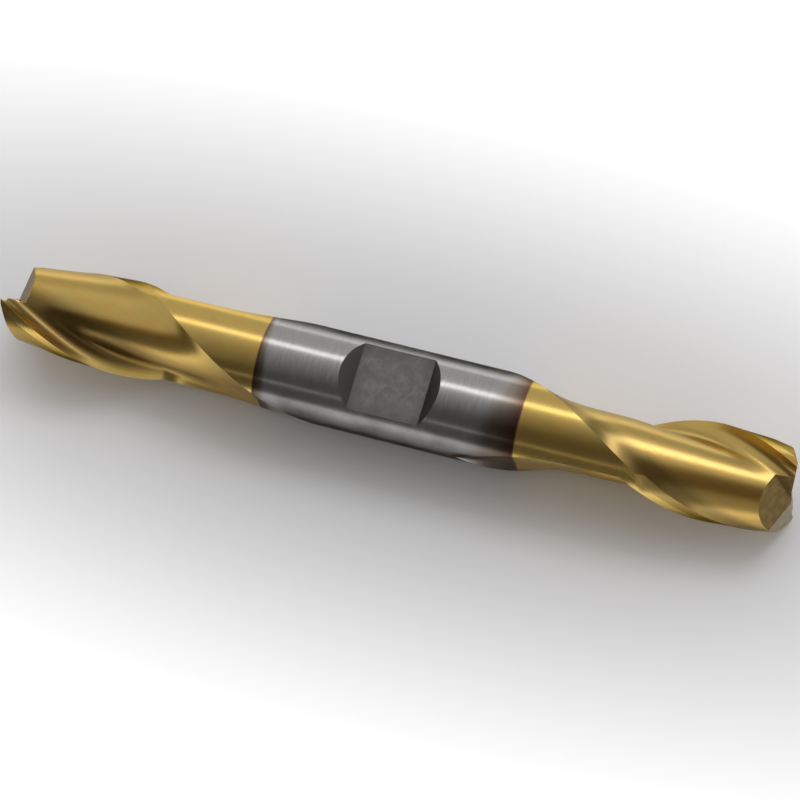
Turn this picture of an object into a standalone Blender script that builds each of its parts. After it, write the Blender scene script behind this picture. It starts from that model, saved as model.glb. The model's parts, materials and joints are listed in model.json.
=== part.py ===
"""Double end end mill with a flat on the shank, built in metres with +Z up.

The tool lies along X and the normal of its shank flat is +Z. Both ends are worked out as the +X
end, and the other one is then turned half a turn about Z.

A place on the tool is given by two numbers. S is its distance from the end along the axis. ALPHA
is its angle about the axis in degrees, from 0 at +Z towards -Y, which is counterclockwise seen
from beyond the +X end. Sections are in degrees ahead of the cutting edge and shares of the radius.
"""

import math

import bmesh
import bpy
import numpy as np
from mathutils import Matrix, Vector

# Sizes in millimetres
MM = 0.001
DIAMETER = 9.525
LENGTH = 79.375
CUT_LENGTH = 16.0
FLUTE_LENGTH = 32.2
LEAD = 49.0
FLAT_LENGTH = 7.11
FLAT_DEPTH = 1.40
RADIUS = DIAMETER / 2

# Section of a flute, and ALPHA of the first tooth's edge at the end face
EDGE_ALPHA = -16.0
RAKE = 8.0
CORE = 0.57
ROOT_FILLET = 0.30
BACK_START = 20.0
BACK_REACH = 0.966
HEEL = 160.0
HEEL_ROUND = 13.0

# How a flute runs out on the shank: how far ahead of the edge its tip lies, and how fast it closes
RUNOUT_TURN = 38.0
RUNOUT_EDGE_POWER = 3.5
RUNOUT_HEEL_POWER = {"right": 1.0, "left": 0.88}
RUNOUT_DEPTH_POWER = 1.4
TIP_HALF_WIDTH = 2.0

# Clearance behind each side cutting edge
LAND = 11.5
EDGE_DROP = 0.003
LAND_DROP = 0.022
CLEARANCE_DROP = 0.0014
CLEARANCE_RAMP = 2.2

# Ends of the teeth, in degrees and millimetres
DISH = 4.0
END_RELIEF = 8.0
SECOND_RELIEF = 22.0
SECOND_START = 0.45
OVER_CENTRE = 0.1
GASH_ANGLE = 32.0
GASH_AHEAD = {"right": 46.0, "left": 20.0}
GASH_START = {"right": 0.75, "left": 0.30}
EDGE_AHEAD = 0.12

SHANK_SIDES = 96
STATION_STEP = 0.75
BEYOND_END = 1.2
OUTSIDE = 1.5


def remove_everything():
    for obj in list(bpy.data.objects):
        bpy.data.objects.remove(obj, do_unlink=True)


def smooth(x):
    x = np.clip(x, 0.0, 1.0)
    return x * x * (3.0 - 2.0 * x)


def rake_and_fillet():
    """The rake face from just outside the edge, and the root fillet that touches it and the core."""
    fillet = min(ROOT_FILLET, 0.8 * (1.0 - CORE))
    rake = math.radians(RAKE)
    normal = np.array([math.cos(rake), -math.sin(rake)])
    along = np.array([math.sin(rake), math.cos(rake)])
    across = fillet - math.sin(rake)
    centre = normal * across + along * math.sqrt((CORE + fillet) ** 2 - across**2)
    start = math.atan2(-normal[1], -normal[0])
    turn = (math.atan2(-centre[1], -centre[0]) - start) % (2 * math.pi)
    points = [along * 0.05 + [0.0, 1.0], np.array([0.0, 1.0])]
    for angle in start + turn * np.linspace(0.0, 1.0, 6):
        points.append(centre + fillet * np.array([math.cos(angle), math.sin(angle)]))
    return [(math.degrees(math.atan2(x, y)), math.hypot(x, y)) for x, y in points]


def tooth_back(angle, core_end):
    """The back of a tooth. It leaves the core level, keeps one slope as a spiral that would reach
    BACK_REACH at the heel, and bends up over its last degrees to end there on the round bar."""
    on = angle - core_end
    eased = on**2 / (2.0 * BACK_START) if on < BACK_START else on - BACK_START / 2.0
    share = eased / (HEEL - core_end - BACK_START / 2.0)
    bend = (max(angle - HEEL + HEEL_ROUND, 0.0) / HEEL_ROUND) ** 2
    return CORE * (BACK_REACH / CORE) ** share + (1.0 - BACK_REACH) * bend


def clearance(behind):
    """The radius left by the land and the clearance, at an angle behind the cutting edge."""
    land = LAND_DROP * min(behind, LAND) / LAND
    return 1.0 - EDGE_DROP - land - CLEARANCE_DROP * max(behind - LAND, 0.0)


def full_section(ramp):
    """The flute's section from its cutting edge to the next one, and a little past that.

    A rake face, a root fillet, the long back of the next tooth that bends up to its heel, and the
    clearance and land of that tooth. RAMP lifts the last two off the tool.
    """
    section = rake_and_fillet()
    core_end = section[-1][0]
    angles = list(np.linspace(core_end, HEEL - HEEL_ROUND, 12)[1:])
    angles += [HEEL - HEEL_ROUND * left for left in (0.65, 0.35, 0.15, 0.0)]
    angles += [180.0 - LAND, 180.0, 188.0]
    for angle in angles:
        radius = min(tooth_back(angle, core_end), clearance(180.0 - angle) + ramp)
        section.append((angle, radius))
    return np.array(section)


def flute_section(s, end, tooth_alpha):
    """One flute at S as (ALPHA, radius). Past the length of cut it narrows and rises out of the bar."""
    section = full_section(0.1 * max(0.0, (s - CUT_LENGTH) / CLEARANCE_RAMP + 1.0))
    t = max(0.0, (s - CUT_LENGTH) / (FLUTE_LENGTH - CUT_LENGTH))
    edge = tooth_alpha - 360.0 * min(s, CUT_LENGTH) / LEAD
    front = edge + (RUNOUT_TURN - TIP_HALF_WIDTH) * t**RUNOUT_EDGE_POWER
    heel = edge + HEEL + (RUNOUT_TURN + TIP_HALF_WIDTH - HEEL) * t ** RUNOUT_HEEL_POWER[end]
    count = len(section)
    even = (np.arange(count) - 1.0) / (count - 5.0)
    hollow = (1.0 - CORE) * 4.0 * even * (1.0 - even)
    mix = smooth(t / 0.5)
    share = section[:, 0] / HEEL * (1.0 - mix) + even * mix
    depth = (1.0 - section[:, 1]) * (1.0 - mix) + hollow * mix
    depth = depth * (1.0 - t**RUNOUT_DEPTH_POWER)
    lift = 0.03 * smooth((t - 0.92) / 0.08)
    return np.column_stack([front + (heel - front) * share, 1.0 - depth + lift])


def closed_outside(section):
    """The section closed into a ring through points that lie clear of the tool."""
    first, last = section[0, 0], section[-1, 0]
    ring = [(angle, OUTSIDE) for angle in np.linspace(last, first, 7)]
    return np.vstack([section, ring])


def place(s, ring):
    turned = np.radians(ring[:, 0])
    radius = ring[:, 1] * RADIUS
    x = np.full(len(ring), LENGTH / 2 - s)
    return np.column_stack([x, -radius * np.sin(turned), radius * np.cos(turned)]) * MM


def flute_cutter(name, end, tooth_alpha):
    """A closed body through the flute's section at each station along the tool."""
    stations = np.append(np.arange(-BEYOND_END, FLUTE_LENGTH - STATION_STEP / 2, STATION_STEP), FLUTE_LENGTH)
    shape = bmesh.new()
    rings = []
    for s in stations:
        points = place(s, closed_outside(flute_section(s, end, tooth_alpha)))
        rings.append([shape.verts.new(point) for point in points])
    count = len(rings[0])
    for ring, following in zip(rings, rings[1:]):
        for k in range(count):
            n = (k + 1) % count
            shape.faces.new((ring[k], ring[n], following[n]))
            shape.faces.new((ring[k], following[n], following[k]))
    shape.faces.new(rings[0])
    shape.faces.new(rings[-1])
    return finished_cutter(name, shape)


def block_cutter(name, frame, base, top):
    """A closed block between a base and a top outline, in millimetres in a frame of its own."""
    shape = bmesh.new()
    low = [shape.verts.new(frame @ Vector(point) * MM) for point in base]
    high = [shape.verts.new(frame @ Vector(point) * MM) for point in top]
    shape.faces.new(low)
    shape.faces.new(high)
    for k in range(4):
        n = (k + 1) % 4
        shape.faces.new((low[k], low[n], high[n], high[k]))
    return finished_cutter(name, shape)


def finished_cutter(name, shape):
    bmesh.ops.triangulate(shape, faces=shape.faces[:])
    bmesh.ops.recalc_face_normals(shape, faces=shape.faces[:])
    if shape.calc_volume(signed=True) < 0:
        bmesh.ops.reverse_faces(shape, faces=shape.faces[:])
    mesh = bpy.data.meshes.new(name)
    shape.to_mesh(mesh)
    shape.free()
    cutter = bpy.data.objects.new(name, mesh)
    cutter.display_type = "WIRE"
    cutter.hide_render = True
    CUTTERS.objects.link(cutter)
    return cutter


def end_frame(alpha):
    """A frame at the middle of the +X end: X out along ALPHA, Y towards growing ALPHA, Z out of the end."""
    angle = math.radians(alpha)
    out = (0.0, -math.sin(angle), math.cos(angle))
    ahead = (0.0, -math.cos(angle), -math.sin(angle))
    rows = [[out[i], ahead[i], 1.0 if i == 0 else 0.0, 0.0] for i in range(3)]
    rows[0][3] = LENGTH / 2
    return Matrix(rows + [[0.0, 0.0, 0.0, 1.0]])


def rectangle(low, high, level):
    """Four corners in the plane Z = LEVEL."""
    return [(low[0], low[1], level), (high[0], low[1], level), (high[0], high[1], level), (low[0], high[1], level)]


def end_cutters(name, end, tooth_alpha):
    """The flat cuts that shape the end of one tooth: two reliefs behind its edge and a gash ahead of it."""
    edge = end_frame(tooth_alpha)
    dished = edge @ Matrix.Translation((RADIUS, 0.0, 0.0)) @ Matrix.Rotation(-math.radians(DISH), 4, "Y")
    primary = dished @ Matrix.Rotation(math.radians(END_RELIEF), 4, "X")
    steeper = Matrix.Rotation(math.radians(SECOND_RELIEF - END_RELIEF), 4, "X")
    secondary = primary @ Matrix.Translation((0.0, -SECOND_START, 0.0)) @ steeper
    far = 3 * RADIUS
    low, high = (-RADIUS - OVER_CENTRE, -far), (RADIUS, RADIUS)
    cutters = [block_cutter(f"cut_primary_{name}", primary, rectangle(low, high, 0.0), rectangle(low, high, far))]
    low, high = (-RADIUS, -far), (RADIUS, 0.0)
    cutters.append(block_cutter(f"cut_secondary_{name}", secondary, rectangle(low, high, 0.0),
                                rectangle(low, high, far)))
    low = (-0.6 * RADIUS, EDGE_AHEAD)
    high = (1.6 * RADIUS, EDGE_AHEAD + 1.8 * RADIUS)
    towards = math.radians(GASH_AHEAD[end])
    slope = math.tan(math.radians(GASH_ANGLE))
    base = [(x, y, -GASH_START[end] - slope * (x * math.cos(towards) + y * math.sin(towards)))
            for x, y, _ in rectangle(low, high, 0.0)]
    cutters.append(block_cutter(f"cut_gash_{name}", edge, base, rectangle(low, high, far)))
    return cutters


def flat_cutter():
    """The shank flat's cutter: a floor, two walls at 45 degrees, and long sides clear of the shank."""
    floor = RADIUS - FLAT_DEPTH
    half = FLAT_LENGTH / 2
    rise = FLAT_DEPTH + 2.0
    base = rectangle((-half, -2 * RADIUS), (half, 2 * RADIUS), floor)
    top = rectangle((-half - rise, -2 * RADIUS), (half + rise, 2 * RADIUS), floor + rise)
    return block_cutter("cut_flat", Matrix(), base, top)


def turned_bar():
    """The round bar: a profile turned once about X."""
    half = LENGTH / 2 * MM
    radius = RADIUS * MM
    mesh = bpy.data.meshes.new("end_mill")
    points = [(half, 0, 0), (half, 0, radius), (-half, 0, radius), (-half, 0, 0)]
    mesh.from_pydata(points, [(0, 1), (1, 2), (2, 3)], [])
    bar = bpy.data.objects.new("end_mill", mesh)
    bpy.context.scene.collection.objects.link(bar)
    screw = bar.modifiers.new("turn", "SCREW")
    screw.axis = "X"
    screw.steps = SHANK_SIDES
    screw.render_steps = SHANK_SIDES
    screw.use_merge_vertices = True
    screw.merge_threshold = 0.00001
    return bar


def cut(bar, cutter):
    """Cuts with the exact solver. The long twisted flutes need the manifold one."""
    boolean = bar.modifiers.new(cutter.name, "BOOLEAN")
    boolean.operation = "DIFFERENCE"
    boolean.solver = "MANIFOLD" if "flute" in cutter.name else "EXACT"
    boolean.object = cutter


def steel():
    material = bpy.data.materials.new("ground_high_speed_steel")
    material.use_nodes = True
    shader = material.node_tree.nodes["Principled BSDF"]
    shader.inputs["Base Color"].default_value = (0.56, 0.50, 0.38, 1.0)
    shader.inputs["Metallic"].default_value = 1.0
    shader.inputs["Roughness"].default_value = 0.25
    return material


remove_everything()
CUTTERS = bpy.data.collections.new("cutters")
CUTTERS.hide_render = True
bpy.context.scene.collection.children.link(CUTTERS)

bar = turned_bar()
bar.data.materials.append(steel())

flute_cutters = []
flat_cutters = [flat_cutter()]
half_turn = Matrix.Rotation(math.pi, 4, "Z")
for end in ("right", "left"):
    for tooth in (1, 2):
        name = f"{end}_{tooth}"
        tooth_alpha = EDGE_ALPHA + 180.0 * (tooth - 1)
        flute = flute_cutter(f"cut_flute_{name}", end, tooth_alpha)
        ground = end_cutters(name, end, tooth_alpha)
        if end == "left":
            for cutter in [flute] + ground:
                cutter.data.transform(half_turn)
        flute_cutters.append(flute)
        flat_cutters += ground
for cutter in flute_cutters + flat_cutters:
    cut(bar, cutter)
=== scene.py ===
# %% [markdown]
# # A double end end mill
#
# The tool is one bar of high speed steel, ground all over, with two helical flutes at each end and
# a flat in the middle of its shank. Both ends carry a thin gold-coloured titanium nitride film.
# This lesson loads the plain solid that fixes the tool's size and place, works out a fine surface
# for it with numpy, and gives each ground surface its own finish.

# %% Load the frame
import json
import math

import bmesh
import bpy
import numpy as np
from mathutils import Matrix, Vector


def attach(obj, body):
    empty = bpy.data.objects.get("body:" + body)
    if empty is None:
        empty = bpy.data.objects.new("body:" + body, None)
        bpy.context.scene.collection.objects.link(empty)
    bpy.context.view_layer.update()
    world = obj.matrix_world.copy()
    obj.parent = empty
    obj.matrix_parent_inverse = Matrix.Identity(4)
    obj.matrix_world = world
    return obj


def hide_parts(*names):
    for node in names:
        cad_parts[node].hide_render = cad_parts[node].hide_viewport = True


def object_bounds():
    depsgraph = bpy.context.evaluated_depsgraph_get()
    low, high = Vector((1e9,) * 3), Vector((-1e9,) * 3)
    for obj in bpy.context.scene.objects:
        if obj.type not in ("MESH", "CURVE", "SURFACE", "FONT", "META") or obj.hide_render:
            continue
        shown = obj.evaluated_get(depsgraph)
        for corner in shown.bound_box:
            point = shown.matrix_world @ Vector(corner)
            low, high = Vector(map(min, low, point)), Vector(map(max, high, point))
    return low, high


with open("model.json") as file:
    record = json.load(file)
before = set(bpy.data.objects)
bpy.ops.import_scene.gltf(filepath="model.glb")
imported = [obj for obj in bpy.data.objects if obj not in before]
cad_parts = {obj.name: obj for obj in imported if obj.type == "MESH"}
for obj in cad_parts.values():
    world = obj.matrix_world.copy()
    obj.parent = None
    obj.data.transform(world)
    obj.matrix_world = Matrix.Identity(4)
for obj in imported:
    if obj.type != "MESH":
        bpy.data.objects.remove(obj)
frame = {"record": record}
cad_low, cad_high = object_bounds()
print("solid box in mm:", [round(1000 * x, 2) for x in cad_high - cad_low])

# %% [markdown]
# ## Sizes
#
# The overall sizes come from the solid's box, and the depth of the flat from its mount, so the
# surface made here fits the solid if that changes. Lengths along the tool are in millimetres.
# Radii are shares of the tool's radius, because a flute's section grows with the bar.

# %% Driving sizes
MM = 0.001
LENGTH = (cad_high.x - cad_low.x) / MM
RADIUS = (cad_high.z - cad_low.z) / 2 / MM
mounts = {mount["name"]: mount for mount in frame["record"]["mounts"]}
FLAT_FLOOR = mounts["shank_flat"]["pos_m"][2] / MM
FLAT_LENGTH = 7.11
CUT_LENGTH = 16.0
FLUTE_LENGTH = 32.2
LEAD = 49.0
COATED_LENGTH = 26.5
EDGE_ALPHA = -16.0
print("length", round(LENGTH, 3), "radius", round(RADIUS, 3), "flat at", round(FLAT_FLOOR, 3))

# %% [markdown]
# ## The camera
#
# The tool lies along X and is seen from well above, a little from its right end, and turned in
# the picture. The camera is far away with a long lens, as for a product photograph, so the tool
# hardly tapers. Its place follows from the direction it looks along, its roll, and the point of
# the picture where the middle of the tool lies.

# %% Camera
PICTURE_WIDTH = 800
SENSOR_WIDTH = 36.0
CAMERA_AZIMUTH = 41.83
CAMERA_ELEVATION = 72.14
CAMERA_ROLL = 13.9
CAMERA_DISTANCE = 0.330
PIXELS_PER_METRE = 10326.0
MIDDLE_IN_PICTURE = (396.0, 394.0)
CLIP_START, CLIP_END = 0.01, 20.0


def link(name, data):
    """Makes an object of a mesh, lamp or camera and puts it into the scene."""
    obj = bpy.data.objects.new(name, data)
    bpy.context.scene.collection.objects.link(obj)
    return obj


def camera_axes():
    """The camera's right, up and back axes. Back follows from azimuth and elevation, and right is
    the tool's X axis laid into the picture plane and turned by the roll."""
    azimuth, elevation = math.radians(CAMERA_AZIMUTH), math.radians(CAMERA_ELEVATION)
    back = Vector((math.sin(azimuth) * math.cos(elevation), -math.cos(azimuth) * math.cos(elevation),
                   math.sin(elevation)))
    along = Vector((1.0, 0.0, 0.0))
    along = (along - along.dot(back) * back).normalized()
    across = back.cross(along)
    roll = math.radians(CAMERA_ROLL)
    return (math.cos(roll) * along + math.sin(roll) * across,
            math.cos(roll) * across - math.sin(roll) * along, back)


right, up, back = camera_axes()
middle = [pixel - PICTURE_WIDTH / 2 for pixel in MIDDLE_IN_PICTURE]
camera_data = bpy.data.cameras.new("camera")
camera_data.sensor_width = SENSOR_WIDTH
camera_data.lens = SENSOR_WIDTH * PIXELS_PER_METRE * CAMERA_DISTANCE / PICTURE_WIDTH
camera_data.clip_start = CLIP_START
camera_data.clip_end = CLIP_END
camera = link("camera", camera_data)
camera_place = back * CAMERA_DISTANCE - right * middle[0] / PIXELS_PER_METRE
camera_place = camera_place + up * middle[1] / PIXELS_PER_METRE
camera.matrix_world = Matrix.Translation(camera_place) @ Matrix((right, up, back)).transposed().to_4x4()
bpy.context.scene.camera = camera
print("lens", round(camera_data.lens, 1), "mm")

# %% [markdown]
# ## The section of a flute
#
# A flute is ground by a shaped wheel that travels along the bar while the bar turns. Across the
# axis its section is a straight rake face that leans back under the cutting edge, a fillet at its
# root, an arc round the core, and the long back of the next tooth. The tooth's outside then has a
# narrow land right behind its edge and a clearance that falls away behind the land.
#
# Each section is given as two arrays: the angle ahead of the cutting edge in degrees, and the
# radius. The number of points in each stretch is fixed, so that sections join into a clean grid
# whose lines follow the edges. A point's place in its stretch is kept for the materials: ACROSS
# runs from 0 at the cutting edge to 1 at the root and on to 2 at the heel.

# %% Flute section
RAKE = math.radians(8.0)
CORE = 0.57
ROOT_FILLET = 0.30
BACK_START = 20.0
BACK_REACH = 0.966
HEEL = 160.0
HEEL_ROUND = 13.0
LAND = 11.5
EDGE_DROP = 0.003
LAND_DROP = 0.022
CLEARANCE_DROP = 0.0014
CLEARANCE_RAMP = 2.2
CLEARANCE_LIFT = 0.1
HALVINGS = 40
RAKE_POINTS, FILLET_POINTS, BACK_POINTS = 8, 12, 34
CLEARANCE_POINTS, LAND_POINTS = 28, 14
FLUTE_POINTS = RAKE_POINTS + FILLET_POINTS + BACK_POINTS
TOOTH_POINTS = FLUTE_POINTS - 1 + CLEARANCE_POINTS + LAND_POINTS
ROOT_POINT = RAKE_POINTS + FILLET_POINTS // 2
ACROSS = np.concatenate([np.linspace(0.0, 1.0, ROOT_POINT + 1),
                         np.linspace(1.0, 2.0, FLUTE_POINTS - ROOT_POINT)[1:],
                         np.full(CLEARANCE_POINTS + LAND_POINTS - 1, 2.0)])


def root_fillet():
    """The fillet's centre, its first direction and its turn, with x ahead of the edge and y out.

    The rake face runs from (0, 1) down a line that leans back by the rake. The centre lies one
    fillet radius from that line and one outside the core, so the fillet touches both."""
    normal = np.array([math.cos(RAKE), -math.sin(RAKE)])
    along = np.array([math.sin(RAKE), math.cos(RAKE)])
    across = ROOT_FILLET - math.sin(RAKE)
    centre = normal * across + along * math.sqrt((CORE + ROOT_FILLET) ** 2 - across**2)
    start = math.atan2(-normal[1], -normal[0])
    return centre, start, (math.atan2(-centre[1], -centre[0]) - start) % (2 * math.pi)


FILLET_CENTRE, FILLET_START, FILLET_TURN = root_fillet()
CORE_ANGLE = math.degrees(math.atan2(FILLET_CENTRE[0], FILLET_CENTRE[1]))


def smooth(x):
    """Rises from 0 to 1 as x does, level at both ends: x squared times (3 - 2 x)."""
    x = np.clip(x, 0.0, 1.0)
    return x * x * (3.0 - 2.0 * x)


def outside(behind, ramp):
    """The radius behind a cutting edge. It drops in proportion to the angle, slowly on the land
    and faster on the clearance, and ramp lifts it back up to the round bar."""
    drop = LAND_DROP * np.minimum(behind, LAND) / LAND + CLEARANCE_DROP * np.maximum(behind - LAND, 0.0)
    return np.minimum(1.0 - EDGE_DROP - drop + ramp, 1.0)


def tooth_back(angle):
    """The back of a tooth: a spiral whose radius grows by the same share for each degree.

    It leaves the core with no slope, and its slope grows over the first degrees. Left alone it
    would reach BACK_REACH at the heel, so its last degrees bend up to end on the round bar."""
    on = np.clip(angle - CORE_ANGLE, 0.0, None)
    eased = np.where(on < BACK_START, on**2 / (2.0 * BACK_START), on - BACK_START / 2.0)
    share = eased / (HEEL - CORE_ANGLE - BACK_START / 2.0)
    bend = np.clip((angle - HEEL + HEEL_ROUND) / HEEL_ROUND, 0.0, None) ** 2
    return CORE * (BACK_REACH / CORE) ** share + (1.0 - BACK_REACH) * bend


def heel_angle(ramp):
    """Where the back meets the outside, found for every section at once by halving a span."""
    low, high = np.full_like(ramp, CORE_ANGLE), np.full_like(ramp, HEEL)
    for _ in range(HALVINGS):
        between = (low + high) / 2
        inside = tooth_back(between) < outside(180.0 - between, ramp)
        low, high = np.where(inside, between, low), np.where(inside, high, between)
    return high


def flute_curve(ramp):
    """Angles and radii from the cutting edge to the heel, one row for each value of ramp."""
    arc = FILLET_START + FILLET_TURN * np.linspace(0.0, 1.0, FILLET_POINTS)
    fillet = FILLET_CENTRE + ROOT_FILLET * np.column_stack([np.cos(arc), np.sin(arc)])
    down = np.linspace(0.0, 1.0, RAKE_POINTS, endpoint=False)[:, None]
    face = (1.0 - down) * np.array([0.0, 1.0]) + down * fillet[0]
    points = np.vstack([face, fillet])
    angle = np.degrees(np.arctan2(points[:, 0], points[:, 1]))
    radius = np.hypot(points[:, 0], points[:, 1])
    heel = heel_angle(ramp)[:, None]
    rise = CORE_ANGLE + (heel - CORE_ANGLE) * np.linspace(0.0, 1.0, BACK_POINTS + 1)[1:]
    rows = np.ones_like(heel)
    edge = outside(np.zeros_like(ramp), ramp)[:, None]
    radius = np.minimum(radius * rows, edge)
    return np.hstack([angle * rows, rise]), np.hstack([radius, tooth_back(rise)])


print("points round one tooth:", TOOTH_POINTS)

# %% [markdown]
# ## Along the flute
#
# Over the length of cut the section only turns with the helix. Past it the wheel rises out of the
# bar: the flute narrows to a tip and grows shallow. Its two borders there are curves of their own,
# because the heel side leaves in a nearly straight slant and the edge side bends in late.

# %% Sections along the tool
RUNOUT_TURN = 38.0
RUNOUT_EDGE_POWER = 3.5
RUNOUT_HEEL_POWER = {"right": 1.0, "left": 0.88}
RUNOUT_DEPTH_POWER = 1.4
RUNOUT_BLEND = 0.5
LAND_BLEND = 0.3
STEP = 0.16
BEYOND_END = 1.2


def tooth_rows(s, end):
    """ALPHA and radius of one tooth at every distance s from its end, edge to next edge.

    t runs from 0 to 1 along the run-out. Each border turns by a power of t. Over the first part of
    the run-out the section turns into a plain hollow, a parabola whose depth fades with t."""
    ramp = CLEARANCE_LIFT * np.clip((s - CUT_LENGTH) / CLEARANCE_RAMP + 1.0, 0.0, 1.0)
    angle, radius = flute_curve(ramp)
    t = np.clip((s - CUT_LENGTH) / (FLUTE_LENGTH - CUT_LENGTH), 0.0, 1.0)[:, None]
    edge = EDGE_ALPHA - 360.0 * np.minimum(s, CUT_LENGTH)[:, None] / LEAD
    heel_ahead = angle[:, -1:]
    front = edge + RUNOUT_TURN * t**RUNOUT_EDGE_POWER
    heel = edge + heel_ahead + (RUNOUT_TURN - heel_ahead) * t ** RUNOUT_HEEL_POWER[end]
    mix = smooth(t / RUNOUT_BLEND)
    even = np.linspace(0.0, 1.0, angle.shape[1])[None, :]
    share = angle / heel_ahead * (1.0 - mix) + even * mix
    hollow = (1.0 - CORE) * 4.0 * even * (1.0 - even)
    depth = ((1.0 - radius) * (1.0 - mix) + hollow * mix) * (1.0 - t**RUNOUT_DEPTH_POWER)
    next_edge = front + 180.0
    even_split = heel + (next_edge - heel) * CLEARANCE_POINTS / (CLEARANCE_POINTS + LAND_POINTS)
    to_even = smooth(t / LAND_BLEND)
    land = (next_edge - LAND) * (1.0 - to_even) + even_split * to_even
    behind_heel = heel + (land - heel) * np.linspace(0.0, 1.0, CLEARANCE_POINTS + 1)[1:]
    behind_edge = land + (next_edge - land) * np.linspace(0.0, 1.0, LAND_POINTS + 1)[1:-1]
    round_part = np.hstack([behind_heel, behind_edge])
    round_radius = np.where(t > 0.0, 1.0, outside(next_edge - round_part, ramp[:, None]))
    alpha = np.hstack([front + (heel - front) * share, round_part])
    return alpha, np.hstack([1.0 - depth, round_radius])


def end_rows(end):
    """Distance, ALPHA and radius of every ring of one end, from beyond its face to the flutes' tips."""
    s = np.append(np.arange(-BEYOND_END, FLUTE_LENGTH - STEP / 2, STEP), FLUTE_LENGTH)
    alpha, radius = tooth_rows(s, end)
    return s, np.hstack([alpha, alpha + 180.0]), np.hstack([radius, radius])


def ring_points(s, alpha, radius, side):
    """The place of each ring point: S back from the end along X, and ALPHA from +Z towards -Y,
    turned half a turn about Z for the left end."""
    turned = np.radians(alpha)
    x = np.broadcast_to((LENGTH / 2 - s)[:, None], alpha.shape) * side
    y = -radius * RADIUS * np.sin(turned) * side
    z = radius * RADIUS * np.cos(turned)
    return np.stack([x, y, z], axis=-1) * MM


# %% [markdown]
# ## Joining the rings
#
# The rings of both ends form one closed skin. Every quad remembers which ground surface it belongs
# to, as its material's number: the round shank and lands, the flutes, or the clearances. The same
# numbers later mark the borders between two surfaces as sharp.

# %% Body mesh
SURFACES = ["shank", "flute", "clearance", "end_face", "gash", "flat"]
SHANK, FLUTE, CLEARANCE, END_FACE, GASH, FLAT = range(len(SURFACES))
SHANK_RINGS = 14
WELD_DISTANCE = 2e-7
blank_materials = [bpy.data.materials.new(name) for name in SURFACES]


def surface_numbers(s):
    """The surface of each quad of one end: columns give the stretch, rows how far along it is."""
    column = np.concatenate([np.full(FLUTE_POINTS - 1, FLUTE), np.full(CLEARANCE_POINTS, CLEARANCE),
                             np.full(LAND_POINTS, SHANK)])
    numbers = np.tile(column, (len(s) - 1, 2))
    past_relief = (s[:-1] > CUT_LENGTH - STEP)[:, None] & (numbers == CLEARANCE)
    return np.where(past_relief, SHANK, numbers)


def make_object(name, points, faces, numbers):
    """An object of these points and faces. Each face's number picks its surface's material."""
    mesh = bpy.data.meshes.new(name)
    mesh.from_pydata(points, [], faces)
    for material in blank_materials:
        mesh.materials.append(material)
    mesh.polygons.foreach_set("material_index", np.asarray(numbers, np.int32))
    mesh.update()
    return link(name, mesh)


def grid_quads(ids):
    """The quads between each row of point numbers and the next, closed round the tool."""
    after = np.roll(ids, -1, axis=1)
    return np.stack([ids[:-1], ids[1:], after[1:], after[:-1]], axis=-1).reshape(-1, 4)


def body():
    """Both ends as grids of quads, a cap beyond each end, and the bare shank between the tips.

    A flute closes to one point at its tip, so a shank ring only has the points outside the flutes.
    The tips of the two ends stand at other angles, and the shank's rings turn from one to the
    other. The left end runs round the tool the other way, so its points are taken in reverse."""
    s, alpha, radius = end_rows("right")
    right_points = ring_points(s, alpha, radius, 1.0)
    s, alpha, radius = end_rows("left")
    left_points = ring_points(s, alpha, radius, -1.0)
    rings, count = alpha.shape
    right_ids = np.arange(rings * count).reshape(rings, count)
    left_ids = right_ids + rings * count
    outside_flutes = np.flatnonzero(np.arange(count) % TOOTH_POINTS >= FLUTE_POINTS - 1)
    half_ring = len(outside_flutes) // 2
    tip = EDGE_ALPHA - 360.0 * CUT_LENGTH / LEAD + RUNOUT_TURN
    twist = (-2.0 * tip) % 180.0
    twist = twist - 180.0 if twist > 90.0 else twist
    first = round((-2.0 * tip - twist) / 180.0) * half_ring
    share = np.linspace(0.0, 1.0, SHANK_RINGS + 2)[1:-1]
    turned = alpha[-1, outside_flutes] + twist * share[:, None]
    shank_s = FLUTE_LENGTH + (LENGTH - 2 * FLUTE_LENGTH) * share
    shank_points = ring_points(shank_s, turned, np.ones_like(turned), 1.0)
    shank_ids = np.arange(SHANK_RINGS * len(outside_flutes)).reshape(SHANK_RINGS, -1) + 2 * rings * count
    reverse = (first - np.arange(len(outside_flutes))) % len(outside_flutes)
    shank_ids = np.vstack([right_ids[-1, outside_flutes], shank_ids, left_ids[-1, outside_flutes][reverse]])
    points = np.vstack([p.reshape(-1, 3) for p in (right_points, left_points, shank_points)])
    quads = np.vstack([grid_quads(ids) for ids in (right_ids, left_ids, shank_ids)])
    numbers = np.concatenate([surface_numbers(s).ravel(), surface_numbers(s).ravel(),
                              np.full((SHANK_RINGS + 1) * len(outside_flutes) + 2, SHANK)])
    faces = quads.tolist() + [right_ids[0].tolist(), left_ids[0].tolist()]
    obj = make_object("end_mill_surface", points, faces, numbers)
    across = np.full(len(points), 2.0)
    across[: 2 * rings * count] = np.tile(ACROSS, 4 * rings)
    obj.data.attributes.new("across_flute", "FLOAT", "POINT").data.foreach_set("value", across)
    weld(obj.data)
    return obj


def weld(mesh):
    """Joins points that lie in one place, and drops the faces that this closes up."""
    shape = bmesh.new()
    shape.from_mesh(mesh)
    bmesh.ops.remove_doubles(shape, verts=shape.verts[:], dist=WELD_DISTANCE)
    shape.to_mesh(mesh)
    shape.free()


tool = body()
print("body faces:", len(tool.data.polygons), "closed:", len(tool.data.loops) == 2 * len(tool.data.edges))

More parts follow.
